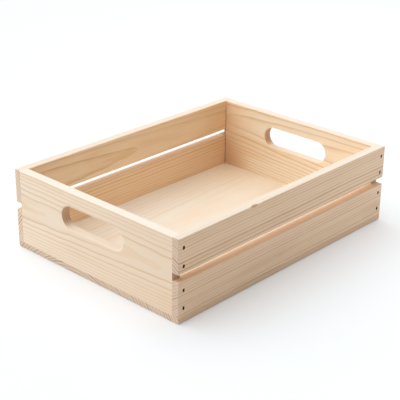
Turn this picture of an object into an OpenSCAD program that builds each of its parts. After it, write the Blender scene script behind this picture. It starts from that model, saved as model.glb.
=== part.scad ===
// Open wooden crate with a hand slot in each end panel.
// Two slats with a gap between them are nailed along each long side, and the base is nailed on from below.
// Origin: middle of the crate's footprint, on the surface it stands on.
// +X runs along the slats, +Y across the crate towards the back slats, +Z up.

/* [Crate] */
// Length of the crate over its ends
crate_l = 380; // [300:1:600]
// Width of the crate over its slats
crate_w = 274; // [220:1:450]
// Thickness of the base panel
base_t = 8; // [5:0.5:14]

/* [Slats] */
// Height of one side slat
slat_h = 43; // [36:0.5:60]
// Thickness of one side slat
slat_t = 12; // [9:0.5:18]
// Open gap between the lower and the upper slat
slat_gap = 9; // [5:0.5:20]

/* [End panels] */
// Thickness of one end panel
end_t = 12; // [9:0.5:18]
// Depth that an end panel is let into each slat that it meets
let_in = 2.5; // [1:0.5:4]
// Length of the hand slot, over its round ends
slot_w = 104; // [80:1:140]
// Height of the hand slot
slot_h = 29; // [24:0.5:36]
// Wood left between the hand slot and the rim
slot_drop = 18.5; // [12:0.5:28]

/* [Edges] */
// Radius on the rim and on the upright corners
rim_r = 1; // [0.4:0.1:2]
// Radius on the slat edges that face the gap
gap_r = 1.4; // [0.4:0.1:2]
// Radius on the lower edges of the base
foot_r = 2; // [0.5:0.1:3]
// Radius around the mouths of the hand slots
slot_r = 1.2; // [0.4:0.1:3]

/* [Brads] */
// Length of a brad from its head to its tip
brad_l = 30; // [26:0.5:36]
// Width of the shank, along the head
shank_w = 1.6; // [1.2:0.1:2]
// Thickness of the shank
shank_t = 1.4; // [1:0.1:2]
// Length of the pointed tip
tip_l = 2.4; // [1:0.1:4]
// Length of the head
head_l = 3.4; // [2.8:0.1:4]
// Width of the head
head_w = 1.6; // [1.4:0.1:2]
// Thickness of the head
head_t = 1.2; // [0.8:0.1:1.6]
// Depth of the head below the wood around it
head_sink = 0.8; // [0.3:0.1:1.5]
// Room around the head in the mark that it leaves
head_clear = 0.2; // [0.1:0.05:0.4]

/* [Brad places] */
// Distance between the two brads in one end of a slat
pair_pitch = 22; // [14:0.5:26]
// Height of a lower slat's first brad above the slat's foot
lower_pair_rise = 10; // [6:0.5:16]
// Height of an upper slat's first brad above the slat's foot
upper_pair_rise = 9; // [6:0.5:16]
// Distance of the slat brads inward from the middle of the end panel
pair_inset = 1.8; // [0:0.1:2]
// Base brads along each end panel
end_brads = 4; // [2:1:6]
// Base brads along each lower slat
side_brads = 5; // [2:1:8]
// Wood between the tips of the slat brads and the first base brad in an end panel
tip_room = 8; // [4:0.5:16]
// Distance of the outermost base brads in a slat from the inner face of an end panel
side_margin = 22; // [8:1:50]

/* [Hidden] */
$fn = 48;
over = 1;
sink_l = head_sink + brad_l;
wall_h = 2 * slat_h + slat_gap;
rim_z = base_t + wall_h;
end_l = crate_w - 2 * (slat_t - let_in);
slot_z = rim_z - slot_drop - slot_h / 2;
slot_reach = slot_w / 2 - slot_h / 2;

// Names with the direction that each stands for
SIDES = [["front", -1], ["back", 1]];
ENDS = [["left", -1], ["right", 1]];

// One row per course of slats: name, height of its foot, rise of its first brad above the foot
COURSES = [["lower", base_t, lower_pair_rise], ["upper", base_t + slat_h + slat_gap, upper_pair_rise]];

// One row per slat brad: name, side, end, height
slat_brad_rows = [
    for (side = SIDES, course = COURSES, end = ENDS, k = [1, 2])
        [str(side[0], "_", course[0], "_", end[0], "_brad_", k), side[1], end[1],
         course[1] + course[2] + (k - 1) * pair_pitch]
];

// Base brads stand in two rows across the crate, in the end panels, and two along it, in the lower slats
end_row_x = crate_l / 2 - end_t / 2;
end_row_reach = crate_w / 2 - sink_l - tip_room;
side_row_y = crate_w / 2 - slat_t / 2;
side_row_reach = crate_l / 2 - end_t - side_margin;

// One row per base brad: name, place along X, place along Y, turn of the head
end_brad_rows = [
    for (end = ENDS, k = [1 : end_brads])
        [str("base_", end[0], "_brad_", k), end[1] * end_row_x, spread(k, end_brads, end_row_reach), 90]
];
side_brad_rows = [
    for (side = SIDES, k = [1 : side_brads])
        [str("base_", side[0], "_brad_", k), spread(k, side_brads, side_row_reach), side[1] * side_row_y, 0]
];
base_brad_rows = concat(end_brad_rows, side_brad_rows);

// Place of the k-th of n things spread evenly from -reach to reach
function spread(k, n, reach) = reach * (2 * (k - 1) / (n - 1) - 1);

// What a corner radius takes away from a square corner at the origin
module corner_waste(r) {
    difference() {
        translate([-over, -over]) square(r + over);
        translate([r, r]) circle(r);
    }
}

// Rectangle from the origin, with a radius for each corner in turn, anticlockwise from the origin
module outline(size, radii) {
    corners = [[0, 0], [size.x, 0], size, [0, size.y]];
    difference() {
        square(size);
        for (i = [0 : 3])
            if (radii[i] > 0) translate(corners[i]) rotate(90 * i) corner_waste(radii[i]);
    }
}

// Board from the origin with eased edges, from its outlines as seen along X, along Y and along Z
module board(size, along_x = [0, 0, 0, 0], along_y = [0, 0, 0, 0], along_z = [0, 0, 0, 0]) {
    intersection() {
        rotate([90, 0, 90]) linear_extrude(size.x) outline([size.y, size.z], along_x);
        translate([0, size.y, 0]) rotate([90, 0, 0]) linear_extrude(size.y) outline([size.x, size.z], along_y);
        linear_extrude(size.z) outline([size.x, size.y], along_z);
    }
}

// Brad driven into a surface at z = 0, pointing down, with its head along X
module brad() {
    translate([-head_l / 2, -head_w / 2, -head_sink - head_t]) cube([head_l, head_w, head_t]);
    shank();
}

// Shank of a brad, from under its head to a chisel point
module shank() {
    rotate([90, 0, 0]) translate([0, 0, -shank_t / 2]) linear_extrude(shank_t) polygon([
        [-shank_w / 2, -head_sink - head_t],
        [-shank_w / 2, tip_l - sink_l],
        [0, -sink_l],
        [shank_w / 2, tip_l - sink_l],
        [shank_w / 2, -head_sink - head_t]
    ]);
}

// Hole that a driven brad leaves in the wood: a mark as deep as the head, and the shank's own place
module brad_hole() {
    mark_l = head_l + 2 * head_clear;
    mark_w = head_w + 2 * head_clear;
    translate([-mark_l / 2, -mark_w / 2, -head_sink - head_t]) cube([mark_l, mark_w, head_sink + head_t + over]);
    shank();
}

// Turns a brad's place into a slat's outer face, with the head upright
module at_slat_brad(row) {
    x = row[2] * (crate_l / 2 - end_t / 2 - pair_inset);
    translate([x, row[1] * crate_w / 2, row[3]]) rotate([-90 * row[1], 0, 0]) rotate(90) children();
}

// Turns a brad's place into the underside of the base
module at_base_brad(row) {
    translate([row[1], row[2], 0]) rotate([180, 0, 0]) rotate(row[3]) children();
}

module slat_brad(row) {
    color("dimgray") at_slat_brad(row) brad();
}

module base_brad(row) {
    color("dimgray") at_base_brad(row) brad();
}

module base_brad_holes() {
    for (row = base_brad_rows) at_base_brad(row) brad_hole();
}

// Base panel over the whole footprint, with round lower edges and corners
module base_panel() {
    feet = [foot_r, foot_r, 0, 0];
    color("burlywood") difference() {
        translate([-crate_l / 2, -crate_w / 2, 0])
            board([crate_l, crate_w, base_t], feet, feet, [rim_r, rim_r, rim_r, rim_r]);
        base_brad_holes();
    }
}

// Half of what a hand slot's mouth takes away where its edge is rounded: a ring quarter seen in section
module mouth_section() {
    difference() {
        square([slot_h / 2 + slot_r, slot_r + over]);
        translate([slot_h / 2 + slot_r, 0]) circle(slot_r);
    }
}

// Rounded mouth of a hand slot, opening upwards from z = 0 over a thickness of slot_r
module slot_mouth() {
    for (s = [-1, 1]) {
        translate([0, s * slot_reach, 0]) rotate_extrude() mouth_section();
        translate([0, slot_reach, 0]) rotate([90, 0, 0]) linear_extrude(2 * slot_reach)
            mirror([(1 - s) / 2, 0]) mouth_section();
    }
}

// Hand slot as a cutter along Z, through a panel that lies from z = 0 up to its thickness
module hand_slot() {
    translate([0, 0, -over]) linear_extrude(end_t + 2 * over) {
        square([slot_h, 2 * slot_reach], center = true);
        for (s = [-1, 1]) translate([0, s * slot_reach]) circle(slot_h / 2);
    }
    translate([0, 0, end_t - slot_r]) slot_mouth();
    translate([0, 0, slot_r]) mirror([0, 0, 1]) slot_mouth();
}

// End panel standing on the base, let into the slats on both sides, with its hand slot
module end_panel(end) {
    rim = [0, 0, rim_r, rim_r];
    color("wheat") difference() {
        translate([end * (crate_l - end_t) / 2 - end_t / 2, -end_l / 2, base_t])
            board([end_t, end_l, wall_h], along_y = rim);
        translate([end * (crate_l - end_t) / 2 + end_t / 2, 0, slot_z]) rotate([0, -90, 0]) hand_slot();
        for (row = slat_brad_rows) if (row[2] == end) at_slat_brad(row) brad_hole();
        base_brad_holes();
    }
}

// Cutter for the rebates in a side's slats, which the edges of the end panels sit in
module rebates(side) {
    for (end = ENDS)
        translate([end[1] * (crate_l - end_t + over) / 2, side * (crate_w / 2 - slat_t), rim_z / 2])
            cube([end_t + over, 2 * let_in, rim_z + over], center = true);
}

// Side slat over the full length, lapped over the edges of both end panels
module slat(side, foot_z) {
    lower = foot_z < base_t + slat_h;
    foot = lower ? 0 : gap_r;
    top = lower ? gap_r : rim_r;
    outer = [side < 0 ? rim_r : 0, side < 0 ? rim_r : 0, side > 0 ? rim_r : 0, side > 0 ? rim_r : 0];
    color("tan") difference() {
        translate([-crate_l / 2, side * (crate_w - slat_t) / 2 - slat_t / 2, foot_z])
            board([crate_l, slat_t, slat_h], [foot, foot, top, top], [foot, foot, top, top], outer);
        rebates(side);
        for (row = slat_brad_rows) if (row[1] == side) at_slat_brad(row) brad_hole();
        if (lower) base_brad_holes();
    }
}

base_panel();
for (end = ENDS) end_panel(end[1]);
for (side = SIDES, course = COURSES)
    slat(side[1], course[1]);
for (row = slat_brad_rows) slat_brad(row);
for (row = base_brad_rows) base_brad(row);
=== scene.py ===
"""Open crate of planed pine: two slats along each long side, a hand slot in each end, sunk wire brads."""

import math
import random

import bmesh
import bpy
from mathutils import Matrix, Vector


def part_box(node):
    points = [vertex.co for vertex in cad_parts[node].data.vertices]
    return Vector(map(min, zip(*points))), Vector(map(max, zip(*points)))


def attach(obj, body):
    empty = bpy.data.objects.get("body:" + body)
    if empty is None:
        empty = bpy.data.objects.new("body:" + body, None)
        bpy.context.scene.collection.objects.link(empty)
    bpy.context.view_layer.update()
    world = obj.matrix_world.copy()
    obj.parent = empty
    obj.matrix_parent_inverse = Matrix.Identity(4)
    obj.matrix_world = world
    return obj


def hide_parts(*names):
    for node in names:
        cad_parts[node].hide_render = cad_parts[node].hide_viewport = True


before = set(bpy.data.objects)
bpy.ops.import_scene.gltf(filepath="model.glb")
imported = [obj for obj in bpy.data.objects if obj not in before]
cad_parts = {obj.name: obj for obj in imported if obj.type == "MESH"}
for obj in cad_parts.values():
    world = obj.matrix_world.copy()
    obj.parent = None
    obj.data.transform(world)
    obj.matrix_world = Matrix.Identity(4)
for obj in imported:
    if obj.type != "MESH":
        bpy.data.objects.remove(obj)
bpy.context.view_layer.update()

MM = 0.001

# Camera: its turn in degrees, its place in mm to the right, upwards and backwards as it is turned,
# and its lens in mm
AZIMUTH = -47.314
ELEVATION = 24.171
ROLL = 0.824
STAND = (-6.02, 40.71, 1377.24)
LENS = 96.97
SENSOR = 36.0

# Studio light: an even dome, a broad lamp from the back, and two round lamps off the right end.
# Each round lamp has a place and a width in m, and a power in W
LAMP_TOWARDS = (-0.287, 0.497, 0.819)
LAMP_STRENGTH = 3.2
LAMP_SPREAD = 110.0
ROUND_LAMPS = (((0.95, 0.1, 0.6), 0.6, 1.27), ((0.55, -0.45, 0.25), 0.4, 0.47))
DOME_COLOUR = (0.224, 0.224, 0.224, 1.0)
WHITE = (1.0, 1.0, 1.0, 1.0)
FLOOR_COLOUR = (0.785, 0.812, 0.836, 1.0)
FLOOR_GLOW = 0.13
FLOOR_REACH = 30.0
FLOOR_DROP = 0.2 * MM

# Boards, in mm
JOINT_EASE = 0.15
RIM_EASE = 0.8
GAP_EASE = 1.2
FOOT_EASE = 2.0
CORNER_EASE = 1.0
EASE_BAND = 2.2
EASE_ROWS = 6
EASE_CROWDING = 1.7
EASE_UNEVENNESS = 0.9
BURIED_EASE = 0.4
ROW_LENGTH = 20.0

# Hand slots, in mm
SLOT_HALF_HEIGHT = 14.5
SLOT_HALF_STRAIGHT = 37.5
SLOT_HEIGHT = 70.0
SLOT_EASE = 1.2
SLOT_STEPS = 28
MOUTH_STEPS = 6
MOUTH_STEP_DOWN = 0.005

# Brads, in mm: head, shank and the mark that the head leaves
HEAD_SINK = 0.8
HEAD = (3.4, 1.6, 1.2)
HEAD_ROUND = 0.12
UNDER_HEAD = 0.01
SHANK = (1.6, 1.4)
BRAD_LENGTH = 30.0
TIP_LENGTH = 2.4
MARK = (3.8, 2.2)
MARK_RIM = (0.5, 0.9)
MARK_RIM_DEPTH = 0.45
BRAD_TWIST = 3.0
OVERCUT = 1.0


def place_camera():
    """Camera at the photograph's viewing angle."""
    azimuth, elevation, roll = (math.radians(a) for a in (AZIMUTH, ELEVATION, ROLL))
    side = Vector((math.cos(azimuth), math.sin(azimuth), 0.0))
    back = Vector((math.sin(azimuth) * math.cos(elevation), -math.cos(azimuth) * math.cos(elevation),
                   math.sin(elevation)))
    up = back.cross(side)
    turned_side = side * math.cos(roll) + up * math.sin(roll)
    turned_up = up * math.cos(roll) - side * math.sin(roll)
    turn = Matrix((turned_side, turned_up, back)).transposed()
    data = bpy.data.cameras.new("camera")
    data.sensor_fit = "HORIZONTAL"
    data.sensor_width = SENSOR
    data.lens = LENS
    data.clip_end = 100.0
    camera = bpy.data.objects.new("camera", data)
    camera.matrix_world = Matrix.Translation(turn @ Vector(STAND) * MM) @ turn.to_4x4()
    bpy.context.scene.collection.objects.link(camera)
    bpy.context.scene.camera = camera


class Wire:
    """One output of a node. Arithmetic on it adds Math nodes, so that a formula reads as a formula."""

    def __init__(self, graph, socket):
        self.graph = graph
        self.socket = socket

    def math(self, operation, *others):
        sockets = dict(enumerate((self,) + others))
        return self.graph.node("ShaderNodeMath", {"operation": operation}, sockets)

    def reflected(self, operation, other):
        return self.graph.node("ShaderNodeMath", {"operation": operation}, {0: other, 1: self})

    def __add__(self, other):
        return self.math("ADD", other)

    def __radd__(self, other):
        return self.reflected("ADD", other)

    def __sub__(self, other):
        return self.math("SUBTRACT", other)

    def __rsub__(self, other):
        return self.reflected("SUBTRACT", other)

    def __mul__(self, other):
        return self.math("MULTIPLY", other)

    def __rmul__(self, other):
        return self.reflected("MULTIPLY", other)

    def __truediv__(self, other):
        return self.math("DIVIDE", other)

    def __rtruediv__(self, other):
        return self.reflected("DIVIDE", other)

    def __pow__(self, other):
        return self.math("POWER", other)

    def ramp(self, low, high):
        """0 below low, 1 above high, and a smooth rise between them."""
        return self.graph.node("ShaderNodeMapRange", {"interpolation_type": "SMOOTHSTEP"},
                               {0: self, 1: low, 2: high, 3: 0.0, 4: 1.0})

    def limited(self, low=0.0, high=1.0):
        return self.math("MAXIMUM", low).math("MINIMUM", high)

    def output(self, name):
        """Another output of the same node."""
        return Wire(self.graph, self.socket.node.outputs[name])


class Graph:
    """A node tree that is built by calls."""

    def __init__(self, tree):
        tree.nodes.clear()
        self.tree = tree

    def node(self, kind, settings=None, sockets=None, out=0):
        """New node with settings, and with values or wires in its sockets. Gives one of its outputs."""
        node = self.tree.nodes.new(kind)
        for name, value in (settings or {}).items():
            if name == "stops":
                set_stops(node.color_ramp, value)
            elif name == "curve":
                set_curve(node.mapping, value)
            else:
                setattr(node, name, value)
        for key, value in (sockets or {}).items():
            if isinstance(value, Wire):
                self.tree.links.new(value.socket, node.inputs[key])
            else:
                node.inputs[key].default_value = value
        return Wire(self, node.outputs[out]) if node.outputs else None

    def mix(self, factor, first, second, blend="MIX"):
        """Colour between two colours."""
        return self.node("ShaderNodeMix", {"data_type": "RGBA", "blend_type": blend},
                         {0: factor, 6: first, 7: second}, 2)

    def vector(self, x, y, z):
        return self.node("ShaderNodeCombineXYZ", None, {0: x, 1: y, 2: z})

    def split(self, vector):
        """The three parts of a vector."""
        first = self.node("ShaderNodeSeparateXYZ", None, {0: vector})
        return first, first.output(1), first.output(2)

    def noise(self, vector, seed, detail=2.0, roughness=0.5):
        """Noise around zero, of features about one unit wide, mostly between -0.25 and 0.25."""
        return self.node("ShaderNodeTexNoise", {"noise_dimensions": "4D"}, {
            "Vector": vector, "W": float(seed), "Scale": 1.0, "Detail": detail, "Roughness": roughness,
        }) - 0.5


def set_stops(ramp, stops):
    """Sharp-edged ramp through (place, grey) stops."""
    ramp.interpolation = "CONSTANT"
    while len(ramp.elements) > 1:
        ramp.elements.remove(ramp.elements[0])
    ramp.elements[0].position = 0.0
    for place, _ in stops[1:]:
        ramp.elements.new(place)
    for element, (_, grey) in zip(ramp.elements, stops):
        element.color = (grey, grey, grey, 1.0)


def set_curve(mapping, points):
    """Curve of straight pieces through points, in order."""
    curve = mapping.curves[0]
    for place, height in points[1:-1]:
        curve.points.new(place, height)
    for point, place in zip(curve.points, points):
        point.location = place
        point.handle_type = "VECTOR"
    mapping.update()


def screen(red, green, blue):
    """Colour as seen on a screen, 0 to 255, for a shader's socket."""
    shares = [value / 255 for value in (red, green, blue)]
    return tuple(s / 12.92 if s <= 0.04045 else ((s + 0.055) / 1.055) ** 2.4 for s in shares) + (1.0,)


def new_material(name):
    """Material with an empty graph."""
    material = bpy.data.materials.new(name)
    material.use_nodes = True
    return material, Graph(material.node_tree)


def finish_material(graph, sockets):
    """Closes a graph with one surface shader."""
    surface = graph.node("ShaderNodeBsdfPrincipled", None, sockets)
    graph.node("ShaderNodeOutputMaterial", None, {"Surface": surface})


def shown_rays(graph):
    """1 for rays that look at the backdrop, straight or in a reflection."""
    camera = graph.node("ShaderNodeLightPath", None, None, "Is Camera Ray")
    seen = camera + camera.output("Is Glossy Ray") + camera.output("Is Transmission Ray")
    return seen.limited()


def new_lamp(kind, towards, power):
    """Lamp at the origin that shines from a direction."""
    lamp = bpy.data.objects.new("lamp", bpy.data.lights.new("lamp", kind))
    lamp.data.energy = power
    lamp.rotation_euler = Vector(towards).to_track_quat("Z", "Y").to_euler()
    bpy.context.scene.collection.objects.link(lamp)
    return lamp


def light_studio():
    """Even dome that looks white to the camera, a broad lamp and two round ones."""
    world = bpy.data.worlds.new("studio")
    world.use_nodes = True
    bpy.context.scene.world = world
    graph = Graph(world.node_tree)
    colour = graph.mix(shown_rays(graph), DOME_COLOUR, WHITE)
    background = graph.node("ShaderNodeBackground", None, {"Color": colour, "Strength": 1.0})
    graph.node("ShaderNodeOutputWorld", None, {"Surface": background})

    new_lamp("SUN", LAMP_TOWARDS, LAMP_STRENGTH).data.angle = math.radians(LAMP_SPREAD)
    for place, width, power in ROUND_LAMPS:
        lamp = new_lamp("AREA", place, power)
        lamp.data.shape = "DISK"
        lamp.data.size = width
        lamp.location = place
        lamp.visible_camera = False


def lay_floor():
    """Pale floor that keeps the crate's shadow and fades into white."""
    corners = [(sx * FLOOR_REACH, sy * FLOOR_REACH, -FLOOR_DROP)
               for sx, sy in ((-1, -1), (1, -1), (1, 1), (-1, 1))]
    mesh = bpy.data.meshes.new("floor")
    mesh.from_pydata(corners, [], [(0, 1, 2, 3)])
    floor = bpy.data.objects.new("floor", mesh)
    bpy.context.scene.collection.objects.link(floor)
    material, graph = new_material("floor")
    matt = graph.node("ShaderNodeBsdfDiffuse", None, {"Color": FLOOR_COLOUR})
    glow = graph.node("ShaderNodeEmission", None,
                      {"Color": WHITE, "Strength": shown_rays(graph) * FLOOR_GLOW})
    both = graph.node("ShaderNodeAddShader", None, {0: matt, 1: glow})
    graph.node("ShaderNodeOutputMaterial", None, {"Surface": both})
    mesh.materials.append(material)


def seeded_rings(first, last, gap, seed, faint=0.3, strong=0.8):
    """Growth rings from one radius to another, each with a strength of its own."""
    draw = random.Random(seed)
    rings = []
    radius = first
    while radius < last:
        rings.append((radius, draw.uniform(faint, strong)))
        radius += gap * draw.uniform(0.78, 1.22)
    rings.append((last, faint))
    return rings


# Waviness of the rings in mm, and the size of each kind of noise in mm: along the grain, then across it
RIPPLE = 0.9
WANDER_SIZE = (95, 34)
RIPPLE_SIZE = (25, 12)
FIBRE_SIZE = (22, 0.45)
STREAK_SIZE = (80, 2.2)
PATCH_SIZE = (110, 20)
PORE_SIZE = (4, 0.3)

# Rays in the end grain: how many there are for each radian, and how long they are in mm
RAY_COUNT = 130
RAY_LENGTH = 7

# Late wood, as shares of a ring: where its broad band, its dark line and its end start and are full
BAND_RISE = (0.35, 0.85)
LINE_RISE = (0.68, 0.92)
RING_END = (0.97, 1.0)

# How nearly a face lies along the rings, where their lines start to soften and where they are softest
FLAT_CUT = (0.975, 0.998)
FLAT_CUT_SOFTENING = 0.88

# Wood tones that the boards share, and how far a knot pushes the rings outwards in mm. The dark joint lines
# are painted shade where shade falls in a joint: low, high and softness along x, y and z in mm, and how
# strong each is
KNOT_COLOUR = screen(198, 160, 126)
KNOT_PULL = 1.6
END_LINES = screen(140, 100, 74)
PAINTED_JOINT_SHADE_COLOUR = screen(122, 86, 58)
FOOT_JOINT_SHADE = ((-98, -18, 12), (-140, -135, 0.5), (7.4, 8.8, 0.5)), 0.35
CORNER_JOINT_SHADE = ((177.0, 190, 0.5), (124.0, 140, 0.5), (-10, 94, 5)), 0.4

# How each board was cut from its tree, in mm. The pith is where the rings' middle lies in the board's
# cross-section (across, up), lean is how far it moves for each mm along the grain, and wander is how far the
# rings stray from it. Rings are (radius, strength). Early is the tone of the early wood at one place along
# the grain and at another. Fade is a tone that the board goes to: along an axis it is full at a first place
# and gone at a second, and a second axis can limit it further; on the right end panel it is painted shade,
# darker low down and towards the back corner. End is the tone of the end grain. Edge is the tone of the
# faces that look along an axis, the height above which they have all of it, and their share of it below. On
# the top rims it is a paler, less saturated tone, partly the sanded grain and partly a painted highlight
# from the lamp above; on the lower slats' top faces in the gaps it is a darker painted shade under the upper
# slats.
# Band, line, patches, fibres and edge lines are strengths.
WOODS = {
    "left_end_panel": {
        "grain": "y", "seed": 3, "pith": (-131.8, 60.5), "lean": (-0.0093, -0.012), "wander": (1.1, 3.0),
        "rings": [(39.0, 0.5), (41.4, 0.7), (43.6, 0.8), (45.9, 0.6), (48.0, 0.9), (50.0, 0.7),
                  (52.6, 0.8), (54.8, 0.6), (57.25, 0.6), (59.2, 0.7), (61.4, 0.75), (64.1, 0.65),
                  (66.6, 0.5), (68.9, 0.6), (71.3, 0.45), (73.9, 0.5), (76.3, 0.5), (79.0, 0.4),
                  (82.0, 0.4)],
        "early": ((-120, screen(236, 214, 189)), (120, screen(247, 228, 206))),
        "late": screen(205, 165, 118), "warm": screen(232, 202, 164),
        # edge: the paler top rim is partly the sanded grain and partly a painted highlight from the lamp
        # above
        "end": screen(214, 178, 146), "edge": (screen(243, 233, 219), "z", 100, 0.45),
        "band": 0.5, "line": 0.7, "patches": 0.3,
    },
    "right_end_panel": {
        "grain": "y", "seed": 11, "pith": (224.75, 74.4), "lean": (0.026, 0.037), "wander": (1.6, 4.0),
        "rings": [(28.0, 0.2), (31.2, 0.25), (34.4, 0.2), (37.4, 0.2), (40.5, 0.25), (43.7, 0.3),
                  (46.9, 0.4), (50.5, 0.5), (54.2, 0.65), (57.5, 0.6), (60.7, 0.7), (63.8, 0.6),
                  (67.0, 0.7), (70.0, 0.5), (73.2, 0.7), (76.5, 0.5), (80.0, 0.6), (83.2, 0.5),
                  (87.0, 0.5)],
        "early": ((60, screen(247, 233, 208)), (118, screen(246, 216, 182))),
        "late": screen(200, 152, 100), "warm": screen(234, 196, 148),
        # fade: painted shade, darker towards the bottom and the back corner, deep inside the crate
        "fade": (screen(212, 170, 130), (("z", 0, 90), ("y", 125, 70))),
        # edge: the paler top rim is partly the sanded grain and partly a painted highlight from the lamp
        # above
        "end": screen(208, 165, 125), "edge": (screen(239, 223, 208), "z", 100, 0.3),
        "band": 0.5, "line": 0.65, "patches": 0.35, "painted_joint_shade": CORNER_JOINT_SHADE,
    },
    "front_upper_slat": {
        "grain": "x", "seed": 21, "pith": (-82.0, -16.0), "lean": (0.0, 0.006), "wander": (0.9, 2.4),
        "rings": [(88.0, 0.5), (91.0, 0.5), (94.8, 0.75), (98.9, 0.85), (102.8, 0.5), (106.9, 1.0),
                  (110.8, 0.4), (114.0, 0.3), (117.4, 0.35), (121.2, 0.55), (124.3, 0.4), (127.4, 0.5),
                  (130.5, 0.5), (134.0, 0.5)],
        "early": ((-190, screen(253, 220, 185)), (190, screen(251, 221, 190))),
        "late": screen(184, 140, 100), "warm": screen(228, 188, 146),
        # edge: the paler top rim is partly the sanded grain and partly a painted highlight from the lamp
        # above
        "end": screen(219, 193, 171), "edge": (screen(235, 221, 203), "z", 100, 0.0),
        "band": 0.6, "line": 0.72, "patches": 0.3, "knot": ((-68.0, -137.0, 102.5), (7.0, 4.0, 2.2)),
    },
    "front_lower_slat": {
        "grain": "x", "seed": 32, "pith": (-196.0, -66.0), "lean": (0.0, 0.003), "wander": (0.8, 2.0),
        "rings": [(87.0, 0.3), (90.0, 0.3), (94.5, 0.4), (98.2, 0.55), (101.0, 0.2), (103.5, 0.2),
                  (106.4, 0.45), (109.1, 0.5), (112.0, 0.15), (114.5, 0.15), (117.0, 0.9), (120.4, 0.5),
                  (123.3, 0.5), (127.0, 0.2), (130.5, 0.4), (134.0, 0.3)],
        "early": ((-190, screen(250, 216, 181)), (190, screen(253, 223, 192))),
        "late": screen(186, 142, 102), "warm": screen(228, 188, 148),
        # edge: the darker tone on the top face in the gap is painted shade under the upper slat
        "end": screen(219, 193, 171), "edge": (screen(229, 197, 166), "z", 45, 0.0),
        "band": 0.55, "line": 0.74, "patches": 0.3, "painted_joint_shade": FOOT_JOINT_SHADE,
    },
    "back_upper_slat": {
        "grain": "x", "seed": 43, "pith": (167.25, 77.5), "lean": (0.018, 0.0), "wander": (0.8, 2.5),
        "rings": [(24.0, 0.5), (27.0, 0.6), (30.0, 0.5), (33.0, 0.6), (36.0, 0.6), (39.3, 0.7),
                  (42.5, 1.0), (46.95, 0.6), (49.6, 0.65), (52.3, 0.5), (55.6, 0.6), (59.0, 0.5),
                  (63.0, 0.5)],
        "early": ((-80, screen(255, 232, 198)), (170, screen(245, 213, 175))),
        "late": screen(200, 150, 98), "warm": screen(234, 194, 144),
        # edge: the paler top rim is partly the sanded grain and partly a painted highlight from the lamp
        # above
        "end": screen(237, 213, 188), "edge": (screen(237, 222, 202), "z", 100, 0.3),
        "band": 0.5, "line": 0.3, "patches": 0.5, "fibres": 0.8, "painted_joint_shade": CORNER_JOINT_SHADE,
    },
    "back_lower_slat": {
        "grain": "x", "seed": 54, "pith": (60.5, -20.0), "lean": (0.0, 0.004), "wander": (0.6, 1.5),
        "rings": [(66.5, 0.5), (67.2, 0.5), (68.9, 0.5), (70.6, 0.4), (72.4, 0.6), (74.5, 0.35),
                  (77.0, 0.5), (79.0, 0.45), (81.4, 0.55), (84.5, 0.8), (87.8, 0.6), (91.3, 1.0),
                  (94.8, 0.8), (98.4, 0.6)],
        "early": ((20, screen(249, 219, 181)), (190, screen(234, 200, 165))),
        "late": screen(200, 150, 98), "warm": screen(232, 190, 144),
        # edge: the darker tone on the top face in the gap is painted shade under the upper slat
        "end": screen(237, 213, 188), "edge": (screen(229, 197, 166), "z", 45, 0.0),
        "band": 0.45, "line": 0.65, "patches": 0.3, "painted_joint_shade": CORNER_JOINT_SHADE,
    },
    "base_panel": {
        "grain": "x", "seed": 65, "pith": (35.0, -90.0), "lean": (0.02, 0.012), "wander": (1.5, 2.5),
        "rings": seeded_rings(88.0, 200.0, 3.9, 65, 0.3, 0.9),
        "early": ((-20, screen(247, 238, 222)), (180, screen(239, 223, 198))),
        "late": screen(222, 186, 146), "warm": screen(240, 214, 182),
        "fade": (screen(234, 218, 197), (("y", -50, 60),)),
        "end": screen(224, 199, 175), "edge": (screen(238, 203, 169), "y", -10, 0.0),
        "edge lines": 2.5,
        "band": 0.25, "line": 0.3, "patches": 0.3, "fibres": 0.5, "painted_joint_shade": FOOT_JOINT_SHADE,
    },
}


def object_place(graph):
    """The texture coordinates, and a place on the object in mm as three parts."""
    place = graph.node("ShaderNodeTexCoord", None, None, "Object")
    return place, [part * (1 / MM) for part in graph.split(place)]


def knot_depth(parts, knot):
    """How far each point lies out of a knot, where 1 is the knot's skin."""
    centre, radii = knot
    reach = [(part - middle) / radius for part, middle, radius in zip(parts, centre, radii)]
    return (reach[0] * reach[0] + reach[1] * reach[1] + reach[2] * reach[2]).math("SQRT")


def joint_shade_share(parts, painted_joint_shade):
    """Strength of a painted joint shade line within its reach along each axis, and 0 away from it."""
    reaches, share = painted_joint_shade
    for part, (low, high, soft) in zip(parts, reaches):
        share = part.ramp(low - soft, low + soft) * (1 - part.ramp(high - soft, high + soft)) * share
    return share


def early_wood(graph, wood, along, parts):
    """Tone of the early wood: it drifts along the grain, and fades to another tone along an axis, which on
    the right end panel is painted shade.
    """
    (first, low), (second, high) = wood["early"]
    tone = graph.mix(((along - first) / (second - first)).limited(), low, high)
    if "fade" not in wood:
        return tone
    faded, ways = wood["fade"]
    share = 1.0
    for axis, full, none in ways:
        reached = ((parts["xyz".index(axis)] - none) / (full - none)).ramp(0.0, 1.0)
        share = reached * share
    return graph.mix(share, tone, faded)


def from_pith(wood, along, across, up, noise):
    """Way from the tree's middle to each point, sideways and upwards."""
    lean_across, lean_up = wood["lean"]
    pith_across, pith_up = wood["pith"]
    wander_across, wander_up = wood["wander"]
    sideways = across - along * lean_across - pith_across + noise(WANDER_SIZE, 0) * wander_across
    upwards = up - along * lean_up - pith_up + noise(WANDER_SIZE, 0.37) * wander_up
    return sideways, upwards


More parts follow.
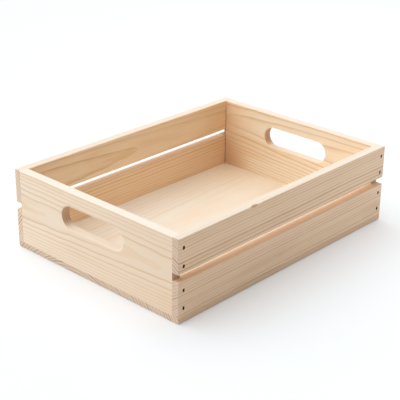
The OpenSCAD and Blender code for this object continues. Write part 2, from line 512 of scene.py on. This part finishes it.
def count_rings(graph, rings, distance):
    """Where each point lies within its ring, from 0 to 1, and how strong that ring is."""
    first = rings[0][0]
    span = rings[-1][0] - first
    last_ring = len(rings) - 1
    curve = [((radius - first) / span, i / last_ring) for i, (radius, _) in enumerate(rings)]
    counted = graph.node("ShaderNodeFloatCurve", {"curve": curve}, {"Value": (distance - first) / span})
    stops = [(i / last_ring, strength) for i, (_, strength) in enumerate(rings[1:])]
    strength = graph.node("ShaderNodeValToRGB", {"stops": stops}, {0: counted})
    return (counted * last_ring).math("FRACT"), strength


def late_wood(part, strength, flat_cut):
    """The broad band of each ring's late wood, and the dark line in it, which is softer where cut flat."""
    ending = (1 - part.ramp(*RING_END)) * strength
    band = part.ramp(*BAND_RISE) * ending
    line = part.ramp(*LINE_RISE) * ending * (1 - flat_cut * FLAT_CUT_SOFTENING)
    return band, line


def face_colour(graph, wood, early, warmth, darkness):
    """Tone of the long-grain faces."""
    warmed = graph.mix(warmth.limited(), early, wood["warm"])
    return graph.mix(darkness.limited(), warmed, wood["late"])


def trimmed(graph, wood, face, darkness, facing, up):
    """A face's tone, or the edge tone on the faces that have it."""
    # The edge tone is partly painted light: a painted highlight on the top rims and painted shade on the
    # lower slats' top faces in the gaps
    tone, axis, start, below = wood["edge"]
    share = below + up.ramp(start - 1, start + 1) * (1 - below)
    trim = facing["xyz".index(axis)].ramp(0.5, 0.95) * share
    lines = (darkness * wood.get("edge lines", 0.5)).limited()
    return graph.mix(trim, face, graph.mix(lines, tone, wood["late"]))


def pine(name, wood):
    """Planed pine: growth rings run through the board, so that face, edge and end grain agree."""
    material, graph = new_material(name)
    place, parts = object_place(graph)
    facing = [part.math("ABSOLUTE") for part in graph.split(place.output("Normal"))]
    grain, cross = (1, 0) if wood["grain"] == "y" else (0, 1)
    along, across, up = parts[grain], parts[cross], parts[2]
    end_grain = facing[grain].ramp(0.35, 0.9)

    def noise(size, step, detail=2.0):
        """Noise of a size along the grain and across it, with a seed of its own."""
        spot = graph.vector(along / size[0], across / size[1], up / size[1])
        return graph.noise(spot, wood["seed"] + step, detail)

    sideways, upwards = from_pith(wood, along, across, up, noise)
    distance = (sideways * sideways + upwards * upwards).math("SQRT") + noise(RIPPLE_SIZE, 0.7) * RIPPLE
    if "knot" in wood:
        depth = knot_depth(parts, wood["knot"])
        distance = distance + (1 - depth.ramp(0.4, 3.0)) * KNOT_PULL
    part, strength = count_rings(graph, wood["rings"], distance)
    flatness = (sideways.math("ABSOLUTE") * facing[cross] + upwards.math("ABSOLUTE") * facing[2]) / distance
    band, line = late_wood(part, strength, flatness.ramp(*FLAT_CUT))

    fibres = noise(FIBRE_SIZE, 1, 3.0)
    streaks = noise(STREAK_SIZE, 2)
    patches = noise(PATCH_SIZE, 3, 1.0)
    turn = upwards.math("ARCTAN2", sideways)
    rays = graph.noise(graph.vector(turn * RAY_COUNT, distance / RAY_LENGTH, 0.0), wood["seed"] + 4)
    pores = noise(PORE_SIZE, 5)

    early = early_wood(graph, wood, along, parts)
    warmth = band * (wood["band"] + streaks + fibres) + patches.ramp(-0.02, 0.22) * wood["patches"]
    darkness = line * wood["line"] + fibres * wood.get("fibres", 0.3) + streaks * 0.1
    face = face_colour(graph, wood, early, warmth + streaks * 0.3, darkness)
    face = trimmed(graph, wood, face, darkness, facing, up)
    end_shade = (band * 0.3 + line * 0.7 + rays * 0.35 + pores * 0.25).limited()
    colour = graph.mix(end_grain, face, graph.mix(end_shade, wood["end"], END_LINES))
    if "knot" in wood:
        colour = graph.mix((1 - depth.ramp(0.55, 1.0)) * 0.9, colour, KNOT_COLOUR)
    # Painted shade: dark lines where shade falls in the joints at the front foot and in the inner back
    # corner
    if "painted_joint_shade" in wood:
        share = (joint_shade_share(parts, wood["painted_joint_shade"]) * (1 + streaks * 2)).limited()
        colour = graph.mix(share, colour, PAINTED_JOINT_SHADE_COLOUR)

    height = line * 0.5 + fibres * 0.9 + pores * end_grain * 1.2
    bump = graph.node("ShaderNodeBump", None, {"Strength": 0.3, "Distance": 0.12 * MM, "Height": height})
    roughness = 0.62 - line * 0.1 + fibres * 0.2 + end_grain * 0.12
    finish_material(graph, {"Base Color": colour, "Roughness": roughness, "Normal": bump,
                            "Specular IOR Level": 0.35})
    return material


def crushed_pine_painted_shade():
    """Wood pressed down and discoloured by a brad's head, made darker still as painted shade in the mark's
    hollow.
    """
    material, graph = new_material("crushed_pine_painted_shade")
    _, (x, y, z) = object_place(graph)
    grain = graph.noise(graph.vector(x / 0.5, y / 0.5, z / 0.5), 7)
    # Painted shade: these dark tones are partly crushed wood and partly stand in for the shade inside the
    # brad mark
    colour = graph.mix((grain + 0.5).limited(), screen(58, 40, 30), screen(80, 55, 40))
    bump = graph.node("ShaderNodeBump", None, {"Strength": 0.4, "Distance": 0.1 * MM, "Height": grain})
    finish_material(graph, {"Base Color": colour, "Roughness": 0.75 + grain * 0.2, "Normal": bump,
                            "Specular IOR Level": 0.2})
    return material


def brad_steel():
    """Dull dark wire with a brown skin of oxide."""
    material, graph = new_material("brad_steel")
    _, (x, y, z) = object_place(graph)
    skin = graph.noise(graph.vector(x / 0.7, y / 0.7, z / 0.7), 17, 4.0)
    scratches = graph.noise(graph.vector(x / 0.15, y / 3, z / 0.15), 18)
    colour = graph.mix((skin * 2 + 0.5).limited(), screen(56, 44, 36), screen(40, 30, 24))
    relief = skin + scratches
    bump = graph.node("ShaderNodeBump", None, {"Strength": 0.3, "Distance": 0.05 * MM, "Height": relief})
    roughness = (0.55 + skin * 0.5 + scratches * 0.2).limited(0.3, 0.9)
    finish_material(graph, {"Base Color": colour, "Metallic": (0.3 - skin * 0.6).limited(),
                            "Roughness": roughness, "Normal": bump})
    return material


def new_tree(name, inputs):
    """Geometry tree with named inputs, given as (name, kind) pairs."""
    tree = bpy.data.node_groups.new(name, "GeometryNodeTree")
    for label, kind in inputs:
        tree.interface.new_socket(label, in_out="INPUT", socket_type="NodeSocket" + kind)
    tree.interface.new_socket("Geometry", in_out="OUTPUT", socket_type="NodeSocketGeometry")
    graph = Graph(tree)
    return tree, graph, graph.node("NodeGroupInput")


def close_tree(graph, geometry, given):
    """Ends a tree with plain faces in the given material."""
    real = graph.node("GeometryNodeRealizeInstances", None, {"Geometry": geometry})
    painted = graph.node("GeometryNodeSetMaterial", None,
                         {"Geometry": real, "Material": given.output("Material")})
    graph.node("NodeGroupOutput", None, {"Geometry": painted})


EDGES = [f"{axis} edge {k}" for axis in "XYZ" for k in range(4)]


def board_tree():
    """Tree for a board with eased edges.

    Each edge has a radius of its own. The four edges along an axis are numbered over the other two axes:
    0 low and low, 1 high and low, 2 low and high, 3 high and high. Faces lie close together near the edges.
    """
    inputs = [("Half size", "Vector"), ("Centre", "Vector"), ("Rows X", "Int"), ("Rows Y", "Int"),
              ("Rows Z", "Int"), ("Unevenness", "Float"), ("Seed", "Float"), ("Material", "Material")]
    tree, graph, given = new_tree("eased board", inputs + [(edge, "Float") for edge in EDGES])
    rows = [given.output("Rows " + axis) for axis in "XYZ"]
    cube = graph.node("GeometryNodeMeshCube", None, {
        "Size": (2.0, 2.0, 2.0), "Vertices X": rows[0], "Vertices Y": rows[1], "Vertices Z": rows[2]})
    unit = graph.split(graph.node("GeometryNodeInputPosition"))
    reach = graph.split(given.output("Half size"))
    band = EASE_BAND * MM

    sides, places, depths = [], [], []
    for axis in range(3):
        away = unit[axis].math("ABSOLUTE")
        side = unit[axis].math("SIGN")
        edge_starts = 1 - 2 * EASE_ROWS / (rows[axis] - 1)
        inside = away / edge_starts * (reach[axis] - band)
        crowding = ((1 - away) / (1 - edge_starts)).math("MAXIMUM", 0.0) ** EASE_CROWDING
        near_edge = reach[axis] - band * crowding
        depth = inside + away.math("GREATER_THAN", edge_starts) * (near_edge - inside)
        sides.append(side * 0.5 + 0.5)
        places.append(side * depth)
        depths.append(reach[axis] - depth + 1e-6)

    total = 0.0
    weights = depths[0] + depths[1] + depths[2]
    for axis in range(3):
        low, high = [other for other in range(3) if other != axis]
        radii = [given.output(EDGES[axis * 4 + k]) for k in range(4)]
        foot = radii[0] + sides[low] * (radii[1] - radii[0])
        top = radii[2] + sides[low] * (radii[3] - radii[2])
        total = (foot + sides[high] * (top - foot)) * depths[axis] / weights + total
    spot = graph.vector(*(place * 25.0 for place in places))
    noise = graph.node("ShaderNodeTexNoise", {"noise_dimensions": "4D"},
                       {"Vector": spot, "W": given.output("Seed"), "Scale": 1.0, "Detail": 2.0})
    radius = total * (1 + (noise - 0.5) * given.output("Unevenness"))

    cores = [places[axis].math("MINIMUM", reach[axis] - radius).math("MAXIMUM", radius - reach[axis])
             for axis in range(3)]
    arms = [places[axis] - cores[axis] for axis in range(3)]
    length = (arms[0] * arms[0] + arms[1] * arms[1] + arms[2] * arms[2]).math("SQRT").math("MAXIMUM", 1e-9)
    eased = graph.vector(*(cores[axis] + arms[axis] * radius / length for axis in range(3)))
    moved = graph.node("ShaderNodeVectorMath", {"operation": "ADD"}, {0: eased, 1: given.output("Centre")})
    board = graph.node("GeometryNodeSetPosition", None, {"Geometry": cube, "Position": moved})
    smooth = graph.node("GeometryNodeSetShadeSmooth", None, {"Geometry": board})
    close_tree(graph, smooth, given)
    return tree


def brad_tree():
    """Tree that drives a brad at each point, turned as the point says and twisted a little at random."""
    inputs = [("Geometry", "Geometry"), ("Blank", "Object"), ("Twist", "Float"), ("Seed", "Int"),
              ("Material", "Material")]
    tree, graph, given = new_tree("driven brads", inputs)
    blank = graph.node("GeometryNodeObjectInfo", None, {"Object": given.output("Blank")}, "Geometry")
    turn = graph.node("GeometryNodeInputNamedAttribute", {"data_type": "FLOAT_VECTOR"}, {"Name": "turn"})
    twist = graph.node("FunctionNodeRandomValue", {"data_type": "FLOAT"}, {
        2: given.output("Twist") * -1, 3: given.output("Twist"), "Seed": given.output("Seed")}, 1)
    driven = graph.node("GeometryNodeInstanceOnPoints", None, {
        "Points": given.output("Geometry"), "Instance": blank, "Rotation": turn})
    twisted = graph.node("GeometryNodeRotateInstances", None, {
        "Instances": driven, "Rotation": graph.vector(0.0, 0.0, twist)})
    close_tree(graph, twisted, given)
    return tree


def plain_mesh(thing):
    """Mesh of an object as its modifiers leave it."""
    graph = bpy.context.evaluated_depsgraph_get()
    return bpy.data.meshes.new_from_object(thing.evaluated_get(graph), depsgraph=graph)


def new_object(name, mesh):
    """Object in the scene, at the origin."""
    thing = bpy.data.objects.new(name, mesh)
    bpy.context.scene.collection.objects.link(thing)
    return thing


def grow(name, tree, values, mesh=None):
    """Plain mesh that a tree makes from its inputs, and from a mesh if it takes one."""
    thing = new_object("growing", mesh or bpy.data.meshes.new("growing"))
    modifier = thing.modifiers.new("growing", "NODES")
    modifier.node_group = tree
    sockets = {item.name: item.identifier for item in tree.interface.items_tree
               if item.item_type == "SOCKET" and item.in_out == "INPUT"}
    for label, value in values.items():
        modifier[sockets[label]] = value
    made = plain_mesh(thing)
    made.name = name
    bpy.data.objects.remove(thing)
    return made


def rounded_rectangle(length, width, corner, steps=3):
    """Corners of a rectangle around the origin, anticlockwise, each rounded in a few steps."""
    points = []
    for sx, sy, start in ((1, 1, 0), (-1, 1, 90), (-1, -1, 180), (1, -1, 270)):
        for k in range(steps):
            angle = math.radians(start + 90 * k / (steps - 1))
            points.append((sx * (length / 2 - corner) + corner * math.cos(angle),
                           sy * (width / 2 - corner) + corner * math.sin(angle)))
    return points


def stadium(grown_by):
    """Outline of the hand slot, grown by a little: long along the first axis."""
    radius = SLOT_HALF_HEIGHT + grown_by
    points = []
    for side in (1, -1):
        for k in range(SLOT_STEPS + 1):
            angle = math.pi * (k / SLOT_STEPS - 0.5) + (0 if side > 0 else math.pi)
            points.append((side * SLOT_HALF_STRAIGHT + radius * math.cos(angle), radius * math.sin(angle)))
    return points


def loft(shape, sections, place=None):
    """Adds a closed skin over sections, each a height and an outline, from the top down."""
    place = place or Matrix.Identity(4)
    rings = []
    for height, outline in sections:
        rings.append([shape.verts.new(place @ (Vector((u, v, height)) * MM)) for u, v in outline])
    count = len(rings[0])
    for upper, lower in zip(rings, rings[1:]):
        for k in range(count):
            following = (k + 1) % count
            shape.faces.new((upper[k], lower[k], lower[following], upper[following]))
    shape.faces.new(rings[0])
    shape.faces.new(list(reversed(rings[-1])))


def shape_mesh(name, shape, material=None):
    """Mesh from a shape, with its faces turned outwards."""
    bmesh.ops.recalc_face_normals(shape, faces=shape.faces)
    mesh = bpy.data.meshes.new(name)
    shape.to_mesh(mesh)
    shape.free()
    if material:
        mesh.materials.append(material)
    return mesh


def slot_cutter(panel, material):
    """Cutter for a hand slot with round mouths, through a panel that spans x."""
    low, high = (value / MM for value in (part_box(panel)[0][0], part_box(panel)[1][0]))
    thickness = high - low
    sections = [(thickness / 2 + OVERCUT, stadium(SLOT_EASE))]
    for k in range(MOUTH_STEPS + 1):
        angle = math.radians(90 * k / MOUTH_STEPS)
        sections.append((thickness / 2 - SLOT_EASE * (1 - math.cos(angle)) - MOUTH_STEP_DOWN,
                         stadium(SLOT_EASE * (1 - math.sin(angle)))))
    sections += [(-height, outline) for height, outline in reversed(sections)]
    turn = Matrix(((0, 0, 1, 0), (1, 0, 0, 0), (0, 1, 0, 0), (0, 0, 0, 1)))
    place = Matrix.Translation(Vector(((low + high) / 2, 0, SLOT_HEIGHT)) * MM) @ turn
    shape = bmesh.new()
    loft(shape, sections, place)
    return shape_mesh("slot", shape, material)


def rebate_cutter(slat, material):
    """Cutter for the rebates in a slat, which the edges of the end panels sit in."""
    shape = bmesh.new()
    for panel, outer in (("left_end_panel", -1), ("right_end_panel", 1)):
        low = [max(a, b) / MM for a, b in zip(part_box(slat)[0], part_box(panel)[0])]
        high = [min(a, b) / MM for a, b in zip(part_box(slat)[1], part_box(panel)[1])]
        inner = 1 if low[1] < 0 else -1
        for axis, way in enumerate((outer, inner)):
            low[axis] -= OVERCUT if way < 0 else 0.0
            high[axis] += OVERCUT if way > 0 else 0.0
        outline = [(low[0], low[1]), (high[0], low[1]), (high[0], high[1]), (low[0], high[1])]
        loft(shape, [(high[2] + OVERCUT, outline), (low[2] - OVERCUT, outline)])
    return shape_mesh("rebates", shape, material)


def shank_sections(top):
    """Sections of a brad's shank from just under its head to its chisel point."""
    length, width = SHANK
    bottom = -BRAD_LENGTH
    return [(top, rounded_rectangle(length, width, 0.25)),
            (bottom + TIP_LENGTH, rounded_rectangle(length, width, 0.25)),
            (bottom + 0.05, rounded_rectangle(0.16, width, 0.07)),
            (bottom, rounded_rectangle(0.1, width - 0.1, 0.04))]


def brad_blank():
    """One brad with its head's top at the origin, pointing down, its head along x."""
    length, width, thickness = HEAD
    eased = rounded_rectangle(length - 2 * HEAD_ROUND, width - 2 * HEAD_ROUND, 0.2)
    full = rounded_rectangle(length, width, 0.3)
    sections = [(0.0, eased), (-HEAD_ROUND, full), (HEAD_ROUND - thickness, full), (-thickness, eased)]
    shape = bmesh.new()
    loft(shape, sections + shank_sections(-thickness - UNDER_HEAD))
    return shape_mesh("brad", shape)


def brad_places(names):
    """Where each brad's head lies and how the brad is turned, from the solids' own boxes."""
    rows = []
    for name in names:
        low, high = (Vector(corner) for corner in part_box(name))
        centre = (low + high) / 2
        if name.startswith("base"):
            head_turn = 0.0 if high.x - low.x > high.y - low.y else math.pi / 2
            rows.append((Vector((centre.x, centre.y, low.z)), (math.pi, 0.0, head_turn)))
        elif centre.y < 0:
            rows.append((Vector((centre.x, low.y, centre.z)), (math.pi / 2, 0.0, math.pi / 2)))
        else:
            rows.append((Vector((centre.x, high.y, centre.z)), (-math.pi / 2, 0.0, math.pi / 2)))
    return rows


def turned(place, turn):
    """Matrix for a brad: its head's long side is turned first, then it is pointed into the wood."""
    tip, _, twist = turn
    return Matrix.Translation(place) @ Matrix.Rotation(tip, 4, "X") @ Matrix.Rotation(twist, 4, "Z")


def brad_cutter(names, material):
    """Cutter for the marks and the shank holes of these brads."""
    draw = random.Random(5)
    shape = bmesh.new()
    for place, turn in brad_places(names):
        length = MARK[0] + draw.uniform(-0.15, 0.15)
        width = MARK[1] + draw.uniform(-0.1, 0.15)
        rim = rounded_rectangle(length + MARK_RIM[0], width + MARK_RIM[1], 0.9)
        mark = [(HEAD_SINK + OVERCUT, rim),
                (HEAD_SINK - 0.02, rim),
                (HEAD_SINK - MARK_RIM_DEPTH, rounded_rectangle(length, width, 0.35)),
                (-HEAD[2], rounded_rectangle(length - 0.1, width - 0.1, 0.35))]
        loft(shape, mark + shank_sections(-HEAD[2] - UNDER_HEAD), turned(place, turn))
    return shape_mesh("brad holes", shape, material)


def cut(mesh, cutters):
    """Mesh with cutters taken out of it, sharp where the cuts are sharp."""
    board = new_object("board", mesh)
    tools = [new_object("cutter", cutter) for cutter in cutters]
    for tool in tools:
        modifier = board.modifiers.new("cut", "BOOLEAN")
        modifier.object = tool
        modifier.operation = "DIFFERENCE"
        modifier.solver = "EXACT"
        modifier.material_mode = "TRANSFER"
    made = plain_mesh(board)
    for thing in [board] + tools:
        bpy.data.objects.remove(thing)
    made.shade_smooth()
    made.set_sharp_from_angle(angle=math.radians(32))
    return made


def edges(x=(JOINT_EASE,) * 4, y=(JOINT_EASE,) * 4, z=(JOINT_EASE,) * 4):
    """Radii of a board's edges along each axis, as the board tree takes them."""
    return {label: radius * MM for label, radius in zip(EDGES, tuple(x) + tuple(y) + tuple(z))}


def slat_edges(front, foot, top):
    """Radii of a slat: its long edges, and its upright corners, sharp on the inner side."""
    upright = (CORNER_EASE, JOINT_EASE) if front else (JOINT_EASE, CORNER_EASE)
    corners = (upright[0], upright[0], upright[1], upright[1])
    return edges((foot, foot, top, top), (foot, foot, top, top), corners)


BASE_EDGES = (FOOT_EASE, FOOT_EASE, BURIED_EASE, BURIED_EASE)
PANEL_EDGES = (JOINT_EASE, JOINT_EASE, RIM_EASE, RIM_EASE)
BOARD_EDGES = {
    "base_panel": edges(BASE_EDGES, BASE_EDGES, (CORNER_EASE,) * 4),
    "left_end_panel": edges(y=PANEL_EDGES),
    "right_end_panel": edges(y=PANEL_EDGES),
    "front_lower_slat": slat_edges(True, BURIED_EASE, GAP_EASE),
    "front_upper_slat": slat_edges(True, GAP_EASE, RIM_EASE),
    "back_lower_slat": slat_edges(False, BURIED_EASE, GAP_EASE),
    "back_upper_slat": slat_edges(False, GAP_EASE, RIM_EASE),
}


def brads_in(board, brads):
    """The brads that are driven into a board: their boxes meet its box."""
    low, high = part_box(board)
    found = []
    for name in brads:
        lowest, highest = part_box(name)
        if all(highest[i] > low[i] + 0.1 * MM and lowest[i] < high[i] - 0.1 * MM for i in range(3)):
            found.append(name)
    return found


def board_cutters(node, brads, material, pressed):
    """What is cut out of a board: its brad holes, and its hand slot or its rebates."""
    cutters = [brad_cutter(brads_in(node, brads), pressed)]
    if node.endswith("end_panel"):
        cutters.append(slot_cutter(node, material))
    if node.endswith("slat"):
        cutters.append(rebate_cutter(node, material))
    return cutters


def make_boards(brads):
    """The seven boards, each cut from wood of its own."""
    tree = board_tree()
    pressed = crushed_pine_painted_shade()
    for number, (node, wood) in enumerate(WOODS.items()):
        low, high = (Vector(corner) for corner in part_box(node))
        half = (high - low) / 2
        material = pine(node + "_pine", wood)
        rows = [2 * EASE_ROWS + 3 + int(size / (ROW_LENGTH * MM)) for size in half]
        values = {"Half size": half, "Centre": (low + high) / 2, "Rows X": rows[0], "Rows Y": rows[1],
                  "Rows Z": rows[2], "Unevenness": EASE_UNEVENNESS, "Seed": 10.0 * number,
                  "Material": material}
        mesh = grow(node, tree, {**values, **BOARD_EDGES[node]})
        mesh = cut(mesh, board_cutters(node, brads, material, pressed))
        piece = new_object("pine_" + node, mesh)
        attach(piece, "root")
        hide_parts(node)


def make_brads(brads):
    """The wire brads, in one piece for the slats' and one for the base's."""
    tree = brad_tree()
    steel = brad_steel()
    blank = new_object("blank", brad_blank())
    groups = {"slat_brads": [name for name in brads if not name.startswith("base")],
              "base_brads": [name for name in brads if name.startswith("base")]}
    for number, (name, nodes) in enumerate(groups.items()):
        places = brad_places(nodes)
        points = bpy.data.meshes.new(name)
        points.from_pydata([place for place, _ in places], [], [])
        turns = points.attributes.new("turn", "FLOAT_VECTOR", "POINT")
        for entry, (place, turn) in zip(turns.data, places):
            entry.vector = turned(place, turn).to_euler("XYZ")
        mesh = grow(name, tree, {"Blank": blank, "Twist": math.radians(BRAD_TWIST), "Seed": number + 1,
                                 "Material": steel}, points)
        mesh.shade_smooth()
        mesh.set_sharp_from_angle(angle=math.radians(40))
        piece = new_object(name, mesh)
        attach(piece, "root")
        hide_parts(*nodes)
    bpy.data.objects.remove(blank)


bpy.context.scene.view_settings.view_transform = "Standard"
place_camera()
light_studio()
lay_floor()
all_brads = sorted(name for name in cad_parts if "_brad_" in name)
make_boards(all_brads)
make_brads(all_brads)
